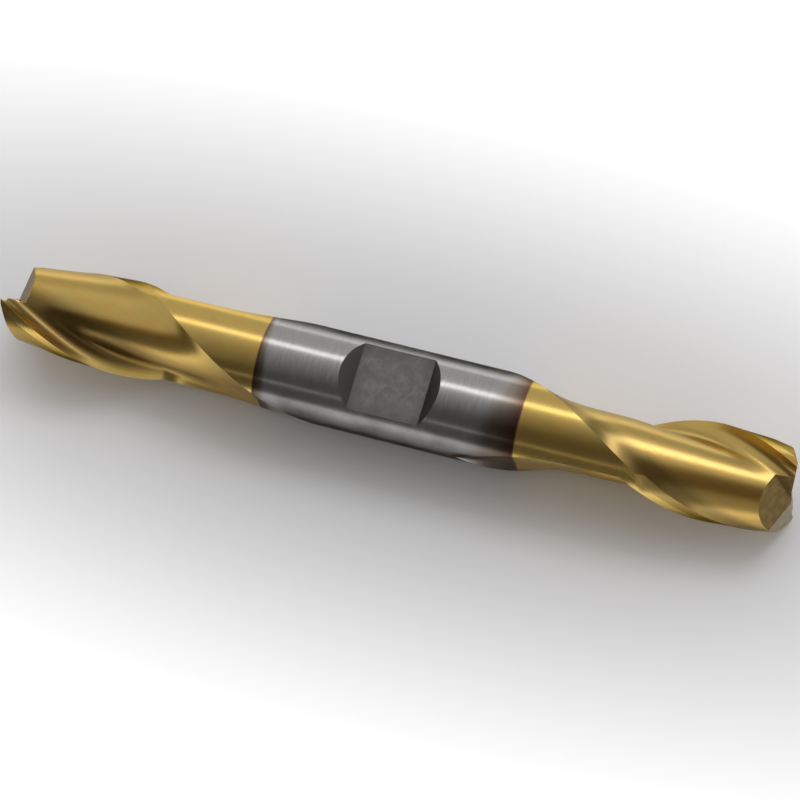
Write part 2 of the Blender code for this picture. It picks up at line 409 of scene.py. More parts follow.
# %% [markdown]
# ## The ends of the teeth and the flat
#
# The end faces are flat cuts: a primary relief right behind each end cutting edge, a steeper
# secondary relief behind it, and a gash that notches the face ahead of the edge. The shank flat is
# milled, with walls at 45 degrees. Flat cuts are what a Boolean does well, so each is a simple
# closed block that is taken away from the body. The manifold solver keeps a grid this fine quick.

# %% Flat cuts
DISH = math.radians(4.0)
END_RELIEF = math.radians(8.0)
SECOND_RELIEF = math.radians(22.0)
SECOND_START = 0.45
OVER_CENTRE = 0.1
GASH_ANGLE = math.radians(32.0)
GASH_AHEAD = {"right": math.radians(46.0), "left": math.radians(20.0)}
GASH_START = {"right": 0.75, "left": 0.30}
EDGE_AHEAD = 0.12
GASH_OUTLINE = [(-0.6, 0.0), (-0.6, 1.8), (1.6, 1.8), (1.6, 0.0)]
BLOCK_FACES = [(0, 1, 2, 3), (7, 6, 5, 4), (0, 4, 5, 1), (1, 5, 6, 2), (2, 6, 7, 3), (3, 7, 4, 0)]
blocks = []


def block(name, frame_matrix, base, top, number):
    """A closed block between a base and a top outline of four points each, in millimetres."""
    corners = [frame_matrix @ Vector(corner) * MM for corner in [*base, *top]]
    obj = make_object(name, corners, BLOCK_FACES, [number] * len(BLOCK_FACES))
    blocks.append(obj)


def end_frame(side, alpha):
    """A frame at the middle of an end face: X out along ALPHA, Y towards growing ALPHA, Z outwards."""
    angle = math.radians(alpha)
    x_axis = Vector((0.0, -math.sin(angle) * side, math.cos(angle)))
    z_axis = Vector((side, 0.0, 0.0))
    turn = Matrix((x_axis, z_axis.cross(x_axis), z_axis)).transposed().to_4x4()
    return Matrix.Translation(z_axis * LENGTH / 2) @ turn


def slab(name, frame_matrix, low, high, number):
    """A straight block between its low and its high corner."""
    outline = [(low[0], low[1]), (low[0], high[1]), (high[0], high[1]), (high[0], low[1])]
    base = [(x, y, low[2]) for x, y in outline]
    top = [(x, y, high[2]) for x, y in outline]
    block(name, frame_matrix, base, top, number)


def cut_end(name, end, side, alpha):
    """The flat cuts of one tooth: its two end reliefs and the gash ahead of its end edge.

    The gash's outline is in shares of the radius. Its floor falls in proportion to the distance
    along its own direction."""
    edge = end_frame(side, alpha)
    dished = edge @ Matrix.Translation((RADIUS, 0, 0)) @ Matrix.Rotation(-DISH, 4, "Y")
    primary = dished @ Matrix.Rotation(END_RELIEF, 4, "X")
    slab(f"primary_{name}", primary, (-RADIUS - OVER_CENTRE, -3 * RADIUS, 0),
         (RADIUS, RADIUS, 2 * RADIUS), END_FACE)
    start = Matrix.Translation((0, -SECOND_START, 0)) @ Matrix.Rotation(SECOND_RELIEF - END_RELIEF, 4, "X")
    slab(f"secondary_{name}", primary @ start, (-RADIUS, -3 * RADIUS, 0),
         (RADIUS, 0.0, 2 * RADIUS), END_FACE)
    towards = GASH_AHEAD[end]
    base, top = [], []
    for x, y in GASH_OUTLINE:
        x, y = x * RADIUS, y * RADIUS + EDGE_AHEAD
        fall = GASH_START[end] + math.tan(GASH_ANGLE) * (x * math.cos(towards) + y * math.sin(towards))
        base.append((x, y, -fall))
        top.append((x, y, RADIUS))
    block(f"gash_{name}", edge, base, top, GASH)


for end, side in (("right", 1.0), ("left", -1.0)):
    cut_end(f"{end}_1", end, side, EDGE_ALPHA)
    cut_end(f"{end}_2", end, side, EDGE_ALPHA + 180.0)

half, rise, wide = FLAT_LENGTH / 2, RADIUS, 2 * RADIUS
floor_outline = [(-half, -wide, FLAT_FLOOR), (-half, wide, FLAT_FLOOR), (half, wide, FLAT_FLOOR),
                 (half, -wide, FLAT_FLOOR)]
top_outline = [(math.copysign(half + rise, x), y, z + rise) for x, y, z in floor_outline]
block("flat_block", Matrix.Identity(4), floor_outline, top_outline, FLAT)
print("blocks:", len(blocks))

# %% Cut the body
for obj in blocks:
    cut = tool.modifiers.new(obj.name, "BOOLEAN")
    cut.operation = "DIFFERENCE"
    cut.solver = "MANIFOLD"
    cut.object = obj
evaluated = tool.evaluated_get(bpy.context.evaluated_depsgraph_get())
cut_mesh = bpy.data.meshes.new_from_object(evaluated)
bpy.data.objects.remove(tool)
for obj in blocks:
    bpy.data.objects.remove(obj)
cut_mesh.name = "end_mill_surface"
mill = link("end_mill_surface", cut_mesh)
kept = cut_mesh.attributes["across_flute"]
print("faces after the cuts:", len(cut_mesh.polygons), "of", len(SURFACES), "surfaces")
print("kept attribute:", kept.name, kept.domain, kept.data_type)

# %% [markdown]
# ## Crisp edges
#
# The skin is shaded smooth, and an edge stays crisp where two ground surfaces meet or where the
# faces on its two sides turn by more than a few degrees. Both are worked out for all edges at once
# from the list of face corners.

# %% Sharp edges
SHARP_TURN = math.radians(24.0)


def mark_sharp(mesh):
    """Sorts the face corners by their edge, so the two faces of an edge stand side by side."""
    corner_edge = np.empty(len(mesh.loops), np.int32)
    mesh.loops.foreach_get("edge_index", corner_edge)
    corners = np.empty(len(mesh.polygons), np.int32)
    mesh.polygons.foreach_get("loop_total", corners)
    number = np.empty(len(mesh.polygons), np.int32)
    mesh.polygons.foreach_get("material_index", number)
    normal = np.empty(len(mesh.polygons) * 3, np.float32)
    mesh.polygons.foreach_get("normal", normal)
    normal = normal.reshape(-1, 3)
    face = np.repeat(np.arange(len(mesh.polygons)), corners)[np.argsort(corner_edge, kind="stable")]
    one, other = face[0::2], face[1::2]
    turn = np.einsum("ij,ij->i", normal[one], normal[other])
    sharp = (turn < math.cos(SHARP_TURN)) | (number[one] != number[other])
    attribute = mesh.attributes.new("sharp_edge", "BOOLEAN", "EDGE")
    attribute.data.foreach_set("value", sharp)
    return int(sharp.sum())


cut_mesh.polygons.foreach_set("use_smooth", np.ones(len(cut_mesh.polygons), bool))
print("sharp edges:", mark_sharp(cut_mesh), "closed:", len(cut_mesh.loops) == 2 * len(cut_mesh.edges))

# %% [markdown]
# ## A short way to write a material
#
# A material is a graph of nodes, and a graph is long to write out by hand. Here one small class
# stands for an output of a node: a sum, a product or a difference of such outputs adds Math nodes.
# A second class holds the graph of one material. It adds any other node from its type, its settings
# and what goes into its sockets, and gives the place on the tool in millimetres. All surfaces of the
# tool are metal, and real metal mirrors most where it is seen nearly along its surface. A rim tint
# below 1 holds that back, which keeps the tool's rims dark against the pale floor.

# %% Material helpers
RIM_TINT = (0.25, 0.25, 0.23)


class Wire:
    """An output of a node. Arithmetic on it adds a Math node and returns that node's output."""

    def __init__(self, graph, socket):
        self.graph = graph
        self.socket = socket

    def math(self, operation, *values):
        """A Math node with this operation on these values, which are wires or numbers."""
        return self.graph.node("Math", {"operation": operation}, dict(enumerate(values)))

    def __add__(self, other):
        return self.math("ADD", self, other)

    def __radd__(self, other):
        return self.math("ADD", other, self)

    def __sub__(self, other):
        return self.math("SUBTRACT", self, other)

    def __rsub__(self, other):
        return self.math("SUBTRACT", other, self)

    def __mul__(self, other):
        return self.math("MULTIPLY", self, other)

    def __rmul__(self, other):
        return self.math("MULTIPLY", other, self)

    def __truediv__(self, other):
        return self.math("DIVIDE", self, other)

    def __rtruediv__(self, other):
        return self.math("DIVIDE", other, self)

    def __gt__(self, other):
        return self.math("GREATER_THAN", self, other)

    def __abs__(self):
        return self.math("ABSOLUTE", self)

    def rising(self, low, high):
        """0 below low and 1 above high, with a smooth step between them."""
        settings = {"interpolation_type": "SMOOTHSTEP"}
        return self.graph.node("MapRange", settings, {"Value": self, "From Min": low, "From Max": high})


class Graph:
    """The nodes of one material."""

    def __init__(self, material):
        material.use_nodes = True
        self.tree = material.node_tree
        self.shader = self.tree.nodes["Principled BSDF"]

    def node(self, kind, settings, inputs, output=0):
        """Adds a node, sets it up, and then feeds its sockets by their number or name."""
        node = self.tree.nodes.new("ShaderNode" + kind)
        for name, value in settings.items():
            if name == "stops":
                self.set_stops(node.color_ramp, value)
            else:
                setattr(node, name, value)
        for name, value in inputs.items():
            self.feed(node.inputs[name], value)
        return Wire(self, node.outputs[output])

    def set_stops(self, ramp, stops):
        """Gives a ramp its colours, each with the place where it stands."""
        while len(ramp.elements) < len(stops):
            ramp.elements.new(1.0)
        for element, (place, colour) in zip(ramp.elements, stops):
            element.position = place
            element.color = (*colour, 1.0)

    def feed(self, socket, value):
        """Links a wire to a socket, or sets a number, a vector or a colour on it."""
        if isinstance(value, Wire):
            self.tree.links.new(value.socket, socket)
        elif socket.type == "RGBA":
            socket.default_value = (*value, 1.0)
        else:
            socket.default_value = value

    def blend(self, share, first, second, how="MIX"):
        """One colour turning into another as share goes from 0 to 1."""
        settings = {"data_type": "RGBA", "blend_type": how}
        return self.node("Mix", settings, {0: share, 6: first, 7: second}, output=2)

    def scaled(self, vector, factors):
        """A vector with each part multiplied by its factor."""
        return self.node("VectorMath", {"operation": "MULTIPLY"}, {0: vector, 1: factors})

    def length(self, vector):
        return self.node("VectorMath", {"operation": "LENGTH"}, {0: vector}, output="Value")

    def place(self):
        """The place on the tool in millimetres."""
        metres = self.node("TexCoord", {}, {}, output="Object")
        return self.scaled(metres, (1 / MM, 1 / MM, 1 / MM))

    def part(self, vector, axis):
        return self.node("SeparateXYZ", {}, {0: vector}, output=axis)

    def noise(self, vector, grain, detail=2.0, roughness=0.5):
        """Noise from 0 to 1. GRAIN says how many grains fit into a millimetre along each axis."""
        inputs = {"Vector": self.scaled(vector, grain), "Scale": 1.0, "Detail": detail,
                  "Roughness": roughness}
        return self.node("TexNoise", {}, inputs)

    def make_metal(self, rim=RIM_TINT):
        """Makes the surface metal. RIM sets how dark it turns where it is seen along its surface."""
        self.shader.inputs["Metallic"].default_value = 1.0
        self.shader.inputs["Specular Tint"].default_value = (*rim, 1.0)

    def bump(self, height, depth):
        """A normal tilted by a height that runs from 0 to 1 over a depth in millimetres."""
        return self.node("Bump", {}, {"Strength": 1.0, "Distance": depth * MM, "Height": height})


print("helpers:", Wire.__name__, Graph.__name__)

# %% [markdown]
# ## Steel, film and the tint between them
#
# Two colours make the tool: bare ground steel, and the gold of the titanium nitride film on both
# ends. The film was laid on while the shank stood in a holder, so it ends in a line round the bar.
# Just beyond the line the heat has tinted the bare steel, from purple-brown through bronze to nothing. The
# tint is wide at the right end and narrow at the left, and wider at the front than at the back, where
# painted shade also darkens it. One dark stain lies low on the front, beside the right end's film.
#
# The film's colour isn't even: it wanders a little between greenish and reddish gold. Each change
# is a Mix of two colours by a noise. The film's mask is a smooth step of the place along the tool.

# %% Steel and film colours
STEEL = (0.52, 0.515, 0.50)
STEEL_SHADE = (0.43, 0.425, 0.41)
FILM = (0.76, 0.51, 0.145)
FILM_GREENISH = (0.69, 0.50, 0.155)
FILM_REDDISH = (0.72, 0.43, 0.12)
ROOT_PAINTED_SHADE = {"right": (0.66, 0.46, 0.14), "left": (0.26, 0.17, 0.055)}
HEEL_PAINTED_SHADE = (0.36, 0.25, 0.085)
HEEL_SHADE_SHARE = {"right": 0.85, "left": 0.15}
TINT_STOPS = [(0.0, STEEL), (0.30, (0.47, 0.44, 0.40)), (0.60, (0.38, 0.325, 0.265)),
              (0.85, (0.25, 0.175, 0.135)), (0.96, (0.23, 0.115, 0.095)), (1.0, (0.36, 0.215, 0.100))]
TINT_PAINTED_SHADE = (0.45, 0.40, 0.38)
TINT_PAINTED_SHADE_FRONT = (-0.6, 0.5)
TINT_WIDTH = {"right": 4.0, "left": 1.1}
TINT_WIDER_IN_FRONT = 0.35
TINT_FADE = 0.5
STAIN_PLACE = (9.4, -4.60, 0.9)
STAIN_SPREAD = (1 / 2.8, 1 / 0.9, 1 / 0.9)
STAIN_BORDER = (0.5, 1.1)
STAIN_COLOUR = (0.10, 0.068, 0.055)
FILM_EDGE = LENGTH / 2 - COATED_LENGTH
FILM_BLUR = 0.12
FILM_WAVE = 0.16
FILM_WAVE_GRAIN = (0.15, 0.35, 0.35)
WANDER_GRAIN = (0.16, 0.30, 0.30)
WANDER_RANGE = (0.35, 0.65)
PATCH_GRAIN = (0.5, 0.8, 0.8)
PATCH_RANGE = (0.50, 0.75)
PATCH_SHARE = 0.5


def film_mask(graph, place):
    """How far a place lies beyond the film's edge in millimetres, and the film's mask from it."""
    wave = graph.noise(place, FILM_WAVE_GRAIN) - 0.5
    beyond = abs(graph.part(place, "X")) - FILM_EDGE + wave * FILM_WAVE
    return beyond, beyond.rising(-FILM_BLUR, FILM_BLUR)


def left_end(graph, place):
    """1 at the left end of the tool and 0 at the right one."""
    return (graph.part(place, "X") * -1.0) > 0.0


def by_end(graph, place, values):
    """A number with one value at each end: the right one, plus their difference at the left."""
    return values["right"] + left_end(graph, place) * (values["left"] - values["right"])


def tinted_steel(graph, place, steel):
    """Steel with the heat tint, darkened at the front by painted shade, the stain, and the film's mask.

    The tint's ramp runs from 0, one tint width before the film, to 1 at the film. The stain covers
    an ellipsoid: the distance from its middle, with each axis divided by its own spread."""
    beyond, mask = film_mask(graph, place)
    front = graph.part(place, "Y") * (-1 / RADIUS)
    width = by_end(graph, place, TINT_WIDTH) * (1.0 + front * TINT_WIDER_IN_FRONT)
    along = 1.0 + beyond / width
    tint = graph.node("ValToRGB", {"stops": TINT_STOPS}, {0: along})
    # Painted shade: the tint turns darker towards the front.
    shaded = graph.blend(1.0, tint, TINT_PAINTED_SHADE, how="MULTIPLY")
    tint = graph.blend(front.rising(*TINT_PAINTED_SHADE_FRONT), tint, shaded)
    tinted = graph.blend(along.rising(0.0, TINT_FADE), steel, tint)
    from_stain = graph.node("VectorMath", {"operation": "SUBTRACT"}, {0: place, 1: STAIN_PLACE})
    from_stain = graph.length(graph.scaled(from_stain, STAIN_SPREAD))
    return graph.blend(from_stain.rising(*STAIN_BORDER), STAIN_COLOUR, tinted), mask


def film_colour(graph, place):
    """Gold that wanders to greenish over broad areas and to reddish in small patches."""
    wander = graph.noise(place, WANDER_GRAIN).rising(*WANDER_RANGE)
    patches = graph.noise(place, PATCH_GRAIN, detail=3.0).rising(*PATCH_RANGE)
    return graph.blend(patches * PATCH_SHARE, graph.blend(wander, FILM, FILM_GREENISH), FILM_REDDISH)


def helical(graph, place):
    """The place turned back by the helix, so that a line along a flute becomes straight."""
    turn = graph.part(place, "X") * (-2 * math.pi / LEAD)
    return graph.node("VectorRotate", {"rotation_type": "X_AXIS"}, {"Vector": place, "Angle": turn})


def from_end(graph, place):
    """How far a place lies from the nearer end of the tool, in millimetres."""
    return LENGTH / 2 - abs(graph.part(place, "X"))


print("film begins", round(FILM_EDGE, 2), "mm from the middle")

# %% [markdown]
# ## The ground round surfaces
#
# The shank and the lands are ground between wheels while the bar turns, so their fine marks run round it. A
# noise that is squeezed along X and long across it makes such marks. They change the colour and the
# roughness a little, and a very shallow bump breaks the reflections up. The steel's colour also carries
# painted shade by height, bright on top and darker lower down, because the light alone leaves the lower
# part too bright. Real ground steel is even all round.

# %% Ground shank
STEEL_PAINTED_SHADE = (0.09, 0.088, 0.084)
PAINTED_SHADE_BELOW = (0.54, 0.80)
RING_GRAIN = (14.0, 0.5, 0.5)
RING_RANGE = (0.3, 0.75)
RING_DEPTH = 0.0004
CLOUD_GRAIN = (0.35, 0.35, 0.35)
SHANK_ROUGHNESS = 0.15
RING_ROUGHNESS = 0.07
CLOUD_ROUGHNESS = 0.06


def ground_shank(material):
    """Steel with painted shade that darkens it lower down, with the tint and the film beside it."""
    graph = Graph(material)
    place = graph.place()
    rings = graph.noise(place, RING_GRAIN, detail=4.0, roughness=0.65)
    clouds = graph.noise(place, CLOUD_GRAIN, detail=3.0)
    bright = graph.blend(rings.rising(*RING_RANGE), STEEL_SHADE, STEEL)
    height = graph.part(place, "Z") * (1 / RADIUS)
    # Painted shade: below a height the steel turns to a darker, mottled colour.
    steel = graph.blend(height.rising(*PAINTED_SHADE_BELOW), graph.blend(clouds, STEEL_PAINTED_SHADE, STEEL_SHADE), bright)
    tinted, mask = tinted_steel(graph, place, steel)
    graph.feed(graph.shader.inputs["Base Color"], graph.blend(mask, tinted, film_colour(graph, place)))
    roughness = SHANK_ROUGHNESS + rings * RING_ROUGHNESS + clouds * CLOUD_ROUGHNESS
    graph.feed(graph.shader.inputs["Roughness"], roughness)
    graph.feed(graph.shader.inputs["Normal"], graph.bump(rings, RING_DEPTH))
    graph.make_metal()


ground_shank(blank_materials[SHANK])
print("ground shank nodes:", len(blank_materials[SHANK].node_tree.nodes))

# %% [markdown]
# ## The ground flutes
#
# A flute's marks run along it, because the wheel that cuts it travels that way. Turning each place back by
# the helix makes a flute straight, and then the same squeezed noise draws them. The clearance behind each
# land carries the same marks, and its film is drawn darker over most of the length of cut.
#
# Painted shade makes the film darker in the fillet at the root, most of all at the left end, and again
# along the heel, most of all at the right end. A painted highlight makes it pale in a fine line at the
# cutting edge. These follow the flute, so their masks read the attribute that the section left on each
# point: 0 at the edge, 1 at the root and 2 at the heel.

# %% Ground flutes
FLUTE_GRAIN = (0.12, 7.0, 7.0)
FLUTE_DEPTH = 0.0014
LINE_GRAIN = (0.05, 2.2, 2.2)
LINE_RANGE = (0.45, 0.7)
LINE_SHARE = 0.35
ROOT_SHADE_START = (0.35, 0.90)
ROOT_SHADE_END = (1.15, 1.38)
ROOT_SHADE_WIDENING = 0.022
ROOT_SHADE_RUNOUT = (0.75 * CUT_LENGTH, 1.2 * CUT_LENGTH)
HEEL_SHADE_START = (1.78, 1.90)
EDGE_PAINTED_HIGHLIGHT = (0.80, 0.64, 0.34)
EDGE_HIGHLIGHT_END = 0.10
FLUTE_RIM = (0.75, 0.75, 0.72)
CLEARANCE_DARK_FILM = (0.34, 0.235, 0.075)
CLEARANCE_DARKENING = 0.85
CLEARANCE_FADE = (0.6 * CUT_LENGTH, CUT_LENGTH)
CLEARANCE_REDDISH = 0.2
CLEARANCE_GRAIN = (0.12, 9.0, 9.0)
CLEARANCE_DEPTH = 0.0008
FILM_ROUGHNESS = 0.24
MARK_ROUGHNESS = 0.12


def ground_flute(material):
    """Film with marks along the flute, painted shade at the root and the heel, and a painted highlight at
    the edge.

    The mask of the painted shade at the root rises before the root and falls again behind it, a little
    later the further a place lies from the end, and it fades away over the run-out."""
    graph = Graph(material)
    place = graph.place()
    straight = helical(graph, place)
    marks = graph.noise(straight, FLUTE_GRAIN, detail=5.0, roughness=0.7)
    lines = graph.noise(straight, LINE_GRAIN)
    gold = graph.blend(lines.rising(*LINE_RANGE) * LINE_SHARE, film_colour(graph, place), FILM_REDDISH)
    across = graph.node("Attribute", {"attribute_name": "across_flute"}, {}, output="Fac")
    distance = from_end(graph, place)
    # Painted shade in the fillet at the root.
    root = across.rising(*ROOT_SHADE_START) * (1.0 - (across - distance * ROOT_SHADE_WIDENING).rising(*ROOT_SHADE_END))
    root = root * (1.0 - distance.rising(*ROOT_SHADE_RUNOUT))
    root_shade_colour = graph.blend(left_end(graph, place), ROOT_PAINTED_SHADE["right"], ROOT_PAINTED_SHADE["left"])
    gold = graph.blend(root, gold, root_shade_colour)
    # Painted shade along the heel.
    heel = across.rising(*HEEL_SHADE_START) * by_end(graph, place, HEEL_SHADE_SHARE)
    gold = graph.blend(heel, gold, HEEL_PAINTED_SHADE)
    # A painted highlight: pale film in a fine line along the cutting edge.
    gold = graph.blend(1.0 - across.rising(0.0, EDGE_HIGHLIGHT_END), gold, EDGE_PAINTED_HIGHLIGHT)
    tinted, mask = tinted_steel(graph, place, STEEL)
    graph.feed(graph.shader.inputs["Base Color"], graph.blend(mask, tinted, gold))
    graph.feed(graph.shader.inputs["Roughness"], FILM_ROUGHNESS + marks * MARK_ROUGHNESS)
    graph.feed(graph.shader.inputs["Normal"], graph.bump(marks, FLUTE_DEPTH))
    graph.make_metal(FLUTE_RIM)


def ground_clearance(material):
    """Film drawn darker, that turns into the plain film towards the end of the length of cut."""
    graph = Graph(material)
    place = graph.place()
    marks = graph.noise(helical(graph, place), CLEARANCE_GRAIN, detail=4.0, roughness=0.7)
    darkening = CLEARANCE_DARKENING - from_end(graph, place).rising(*CLEARANCE_FADE) * CLEARANCE_DARKENING
    film = graph.blend(darkening, film_colour(graph, place), CLEARANCE_DARK_FILM)
    film = graph.blend(marks * CLEARANCE_REDDISH, film, FILM_REDDISH)
    graph.feed(graph.shader.inputs["Base Color"], film)
    graph.feed(graph.shader.inputs["Roughness"], FILM_ROUGHNESS + marks * MARK_ROUGHNESS)
    graph.feed(graph.shader.inputs["Normal"], graph.bump(marks, CLEARANCE_DEPTH))
    graph.make_metal()


ground_flute(blank_materials[FLUTE])
ground_clearance(blank_materials[CLEARANCE])
print("flute nodes:", len(blank_materials[FLUTE].node_tree.nodes))

# %% [markdown]
# ## The ends
#
# The end faces and gashes are ground last, with a small coarse wheel that is pushed straight across. Their
# marks are straight and deeper. The end faces are drawn in a greyer, darker gold, and the gashes darker
# still with painted shade.

# %% Ground ends
END_FILM = (0.42, 0.34, 0.21)
GASH_PAINTED_SHADE = (0.25, 0.165, 0.055)
END_RIM = (1.0, 1.0, 1.0)
END_GRAIN = (5.0, 0.4, 9.0)
END_MARK_ROUGHNESS = 0.15
BLOTCH_GRAIN = (1.6, 1.6, 1.6)
BLOTCH_RANGE = (0.35, 0.65)
BLOTCH_DARKER = 0.75


def ground_end(material, colour, roughness, mark_depth):
    """A colour with darker blotches, a roughness that the marks raise, and marks of this depth."""
    graph = Graph(material)
    place = graph.place()
    marks = graph.noise(place, END_GRAIN, detail=4.0, roughness=0.7)
    blotches = graph.noise(place, BLOTCH_GRAIN, detail=3.0).rising(*BLOTCH_RANGE)
    darker = tuple(BLOTCH_DARKER * channel for channel in colour)
    graph.feed(graph.shader.inputs["Base Color"], graph.blend(blotches, darker, colour))
    graph.feed(graph.shader.inputs["Roughness"], roughness + marks * END_MARK_ROUGHNESS)
    graph.feed(graph.shader.inputs["Normal"], graph.bump(marks, mark_depth))
    graph.make_metal(END_RIM)


ground_end(blank_materials[END_FACE], END_FILM, roughness=0.20, mark_depth=0.0012)
# The gash's dark colour is painted shade in the notch.
ground_end(blank_materials[GASH], GASH_PAINTED_SHADE, roughness=0.32, mark_depth=0.0025)
print("end nodes:", len(blank_materials[GASH].node_tree.nodes))

# %% [markdown]
# ## The milled flat
#
# The flat is milled and not polished: it is a dull, mottled grey, with faint straight marks across the bar
# and some slanted scratches. It darkens towards its borders, and painted shade makes its two slanted walls
# darker still, which a step of the height tells apart.

# %% Milled flat
SCRATCH_TURN = math.radians(25.0)
FLAT_STEEL = (0.27, 0.258, 0.238)
FLAT_BLOTCH = (0.20, 0.192, 0.178)
FLAT_SCRATCH = (0.40, 0.385, 0.355)
FLAT_SHADE = (0.15, 0.145, 0.135)
WALL_PAINTED_SHADE = (0.11, 0.106, 0.096)
WALL_SHADE_FOOT = (0.01, 0.10)
MILLED_GRAIN = (6.0, 0.8, 1.0)
MILLED_DEPTH = 0.004
MOTTLE_GRAIN = (0.9, 0.9, 0.9)
MOTTLE_RANGE = (0.35, 0.65)
SCRATCH_GRAIN = (1.6, 0.35, 0.5)
SCRATCH_RANGE = (0.56, 0.72)
SCRATCH_SHARE = 0.6
BORDER_AT_WALL = (0.62 * FLAT_LENGTH / 2, 1.05 * FLAT_LENGTH / 2)
BORDER_AT_SIDE = (1.6, 3.4)
BORDER_SHARE = 0.5
FLAT_ROUGHNESS = 0.40
MILLED_ROUGHNESS = 0.15


def milled_flat(material):
    """Mottled steel with scratches, shaded towards its borders, and painted shade where a wall rises."""
    graph = Graph(material)
    place = graph.place()
    marks = graph.noise(place, MILLED_GRAIN, detail=5.0, roughness=0.75)
    mottle = graph.noise(place, MOTTLE_GRAIN, detail=5.0, roughness=0.7).rising(*MOTTLE_RANGE)
    on_wall = (graph.part(place, "Z") - FLAT_FLOOR).rising(*WALL_SHADE_FOOT)
    slanted = graph.node("VectorRotate", {"rotation_type": "Z_AXIS"},
                         {"Vector": place, "Angle": SCRATCH_TURN})
    scratches = graph.noise(slanted, SCRATCH_GRAIN, detail=5.0, roughness=0.75).rising(*SCRATCH_RANGE)
    to_wall = abs(graph.part(place, "X")).rising(*BORDER_AT_WALL)
    to_side = abs(graph.part(place, "Y")).rising(*BORDER_AT_SIDE)
    steel = graph.blend(mottle, FLAT_BLOTCH, FLAT_STEEL)
    steel = graph.blend(scratches * SCRATCH_SHARE, steel, FLAT_SCRATCH)
    steel = graph.blend((to_wall + to_side) * BORDER_SHARE, steel, FLAT_SHADE)
    # Painted shade on the slanted walls.
    graph.feed(graph.shader.inputs["Base Color"], graph.blend(on_wall, steel, WALL_PAINTED_SHADE))
    graph.feed(graph.shader.inputs["Roughness"], FLAT_ROUGHNESS + marks * MILLED_ROUGHNESS)
    graph.feed(graph.shader.inputs["Normal"], graph.bump(marks, MILLED_DEPTH))
    graph.make_metal()


milled_flat(blank_materials[FLAT])
print("flat nodes:", len(blank_materials[FLAT].node_tree.nodes))

# %% [markdown]
# ## The floor
#
# The tool lies on pale paper, which catches its shadow. Round the tool the paper also glows, as if
# it were lit from below. The camera sees this glow, and so does metal or glass that mirrors the
# floor, but it lights nothing. The glow begins a little away from the tool, so that the shadow
# stays, and it fades out far from the tool.

# %% Floor
FLOOR_SIZE = 6.0
FLOOR_COLOUR = (0.92, 0.92, 0.92)
FLOOR_ROUGHNESS = 0.9
FLOOR_GLOW = (0.58, 0.58, 0.58)
FLOOR_GLOW_REACH = (7.0, 42.0)
FLOOR_GLOW_END = (160.0, 900.0)
FLOOR_GLOW_ALONG = 0.3
BLACK = (0.0, 0.0, 0.0)


def pale_floor(material):
    """The glow is a product of three: the ray is one that may see it, the distance from the tool
    is past the glow's start, and it is short of the glow's end. Along X the distance counts less,
    because the tool is long."""
    graph = Graph(material)
    graph.feed(graph.shader.inputs["Base Color"], FLOOR_COLOUR)
    graph.feed(graph.shader.inputs["Roughness"], FLOOR_ROUGHNESS)
    graph.feed(graph.shader.inputs["Emission Strength"], 1.0)
    camera_ray = graph.node("LightPath", {}, {}, output="Is Camera Ray")
    glossy_ray = graph.node("LightPath", {}, {}, output="Is Glossy Ray")
    transmission_ray = graph.node("LightPath", {}, {}, output="Is Transmission Ray")
    from_tool = graph.length(graph.scaled(graph.place(), (FLOOR_GLOW_ALONG, 1.0, 0.0)))
    glow = (camera_ray + glossy_ray + transmission_ray).rising(0.0, 1.0)
    glow = glow * from_tool.rising(*FLOOR_GLOW_REACH) * (1.0 - from_tool.rising(*FLOOR_GLOW_END))
    graph.feed(graph.shader.inputs["Emission Color"], graph.blend(glow, BLACK, FLOOR_GLOW))


reach = FLOOR_SIZE / 2
corners = [(-reach, -reach), (reach, -reach), (reach, reach), (-reach, reach)]
floor_mesh = bpy.data.meshes.new("floor")
floor_mesh.from_pydata([(x, y, cad_low.z) for x, y in corners], [], [(0, 1, 2, 3)])
floor_mesh.materials.append(bpy.data.materials.new("pale_floor"))
pale_floor(floor_mesh.materials[0])
link("floor", floor_mesh)
print("floor at", round(cad_low.z / MM, 3), "mm")

# %% [markdown]
# ## The panels
#
# Polished metal shows its surroundings, so the light is planned from what each side of the round
# shank mirrors. Panels overhead give the dark lower half, and panels behind the tool shade its far
# side. Each panel gives off a set, small light, so the shade that the metal mirrors is known
# beforehand. A panel is an arc about the tool, and its shade may change along the arc from one stop
# to the next. The camera doesn't see the panels, only the metal does.

# %% Panels
PANEL_DISTANCE = 0.75
PANEL_POINTS = 33
DARK = (0.090, 0.088, 0.085)
DARK_WARM = (0.078, 0.054, 0.028)


def grey(level):
    return (level, level, level)


PANELS = {
    "panel_shank": ((-0.27, -0.03), [(-25.0, grey(0.50)), (-10.0, grey(0.33)), (0.0, grey(0.25)),
                                     (9.0, grey(0.19)), (18.0, grey(0.12)), (27.0, DARK), (54.5, DARK)]),
    "panel_right": ((-0.03, 0.45), [(-8.0, grey(0.30)), (3.0, DARK_WARM), (42.0, DARK_WARM),
                                    (52.0, grey(0.25)), (70.0, grey(0.28)), (89.0, grey(0.30))]),
    "panel_back_middle": ((-0.07, 0.15), [(-95.0, grey(0.40)), (-62.0, grey(0.44)), (-54.0, grey(0.55))]),
    "panel_back_right": ((0.15, 1.20), [(-95.0, grey(0.28)), (-60.0, grey(0.28)), (-46.0, grey(0.45))]),
    "panel_back_left": ((-1.40, -0.33), [(-95.0, grey(0.36)), (-62.0, grey(0.40)), (-48.0, grey(0.54))]),
    "panel_low": ((-1.40, -0.03), [(58.0, DARK), (80.0, DARK), (89.0, grey(0.15))]),
    "panel_left": ((-1.40, -0.27), [(30.0, grey(0.40)), (36.0, DARK_WARM), (58.0, DARK_WARM)]),
}


